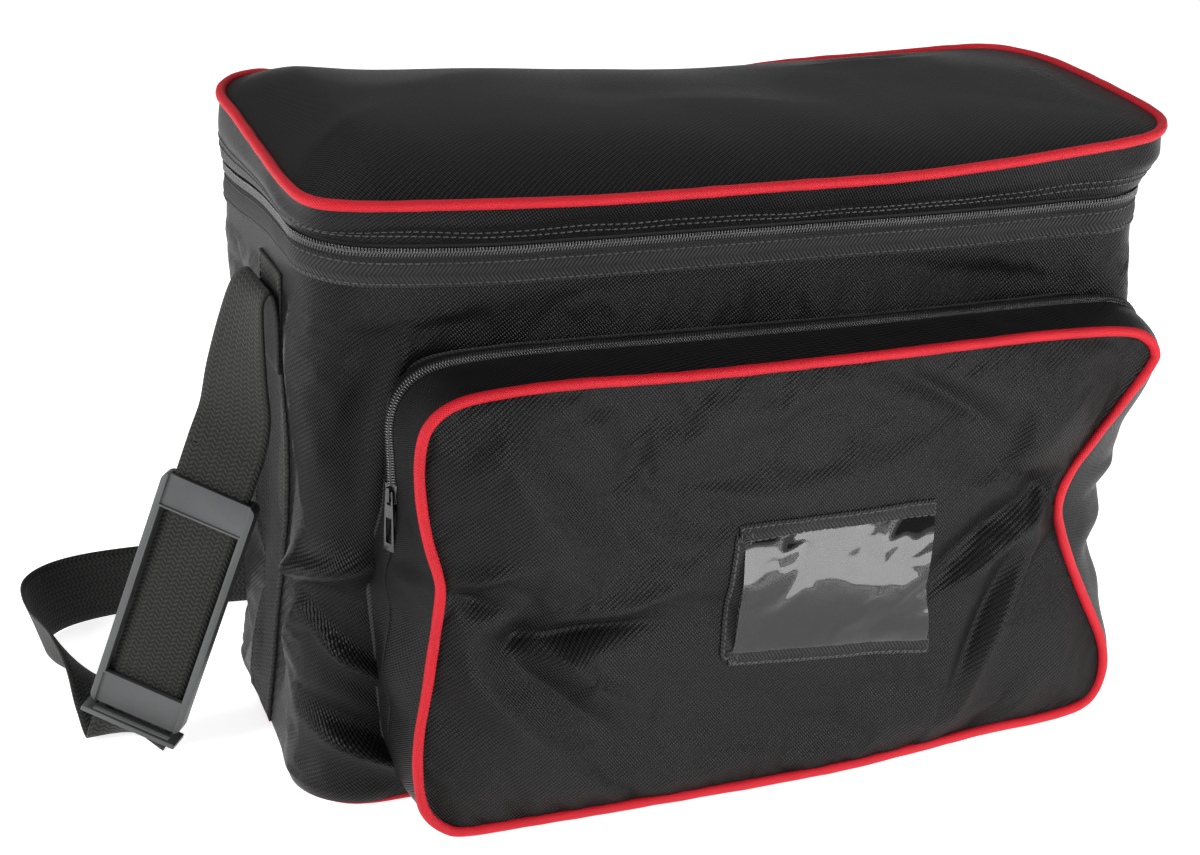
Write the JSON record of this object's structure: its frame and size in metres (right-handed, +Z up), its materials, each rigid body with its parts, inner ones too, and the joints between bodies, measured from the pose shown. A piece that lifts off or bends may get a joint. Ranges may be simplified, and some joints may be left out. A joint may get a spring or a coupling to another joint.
{
  "type": "soft carry case",
  "caption": "Soft rectangular carry case in black woven fabric with red piping, a zipped lid, a zipped front pocket with a card window, and a shoulder strap with a rigid pad.",
  "frame": {"origin": "centre of the base's underside, on the surface that the case stands on", "axes": "+Z up; +X along the case's width, to the right as seen from the front; the pocket faces -Y"},
  "size_m": [0.5746, 0.2734, 0.331],
  "materials": {
    "outer_fabric": "black woven polyester with a fine diagonal rib and a low sheen",
    "lining": "thin black lining cloth",
    "foam": "grey foam padding",
    "board": "black stiffener board",
    "red_piping": "bright red fabric-covered piping cord",
    "tape": "black ribbed binding tape",
    "zip": "black nylon coil zip",
    "webbing": "black coarse webbing",
    "pad_plastic": "dark grey moulded plastic, satin",
    "film": "clear flexible film",
    "slider_metal": "dark metal, satin"
  },
  "bodies": {
    "case": {"base_fabric": "outer_fabric", "base_board": "board", "base_foam": "foam", "base_lining": "lining", "base_piping": "red_piping", "body_wall": "outer_fabric", "body_lining": "lining", "padding_front": "foam", "padding_back": "foam", "padding_left": "foam", "padding_right": "foam", "rim_tape": "tape", "lid_zip_lower": "zip", "lid_hinge_tape": "tape", "end_webbing_left": "webbing", "end_webbing_right": "webbing", "pocket_gusset_lower": "outer_fabric", "pocket_gusset_back": "outer_fabric", "pocket_binding": "tape", "pocket_zip_inner": "zip", "pocket_panel_lower": "outer_fabric", "pocket_piping_lower": "red_piping", "zip_patch_left": "outer_fabric", "zip_patch_right": "outer_fabric", "card_window": "film", "card_window_binding": "tape", "shoulder_strap": "webbing", "strap_slide": "pad_plastic"},
    "lid": {"lid_top": "outer_fabric", "lid_skirt": "outer_fabric", "lid_piping": "red_piping", "lid_foam": "foam", "lid_lining": "lining", "lid_zip_upper": "zip"},
    "pocket_flap": {"pocket_panel_upper": "outer_fabric", "pocket_gusset_front": "outer_fabric", "pocket_zip_outer": "zip", "pocket_piping_upper": "red_piping"},
    "lid_slider": {"lid_slider": "slider_metal"},
    "lid_puller": {"lid_puller": "slider_metal"},
    "pocket_slider": {"pocket_slider": "slider_metal"},
    "pocket_puller": {"pocket_puller": "slider_metal"},
    "strap_pad": {"strap_pad": "pad_plastic"}
  },
  "joints": [
    {"name": "lid_hinge", "type": "hinge", "parent": "case", "child": "lid", "pos_m": [0, 0.092, 0.285], "axis": [-1, 0, 0], "range_deg": [0, 175]},
    {"name": "pocket_flap_fold", "type": "hinge", "parent": "case", "child": "pocket_flap", "pos_m": [0.014, -0.1326, 0.165], "axis": [1, 0, 0], "range_deg": [0, 70]},
    {"name": "lid_slider_slide", "type": "slide", "parent": "case", "child": "lid_slider", "axis": [0, -1, 0], "range_m": [0, 0.075]},
    {"name": "lid_puller_swing", "type": "hinge", "parent": "lid_slider", "child": "lid_puller", "pos_m": [0.2232, 0.04, 0.285], "axis": [0, 0, 1], "range_deg": [0, 120]},
    {"name": "pocket_slider_slide", "type": "slide", "parent": "case", "child": "pocket_slider", "axis": [0, 0, 1], "range_m": [0, 0.022]},
    {"name": "pocket_puller_swing", "type": "hinge", "parent": "pocket_slider", "child": "pocket_puller", "pos_m": [-0.1789, -0.0958, 0.1725], "axis": [0, 1, 0], "range_deg": [0, 120]},
    {"name": "strap_pad_slide", "type": "slide", "parent": "case", "child": "strap_pad", "axis": [0.3051, -0.0753, 0.9493], "range_m": [0, 0.015]}
  ]
}
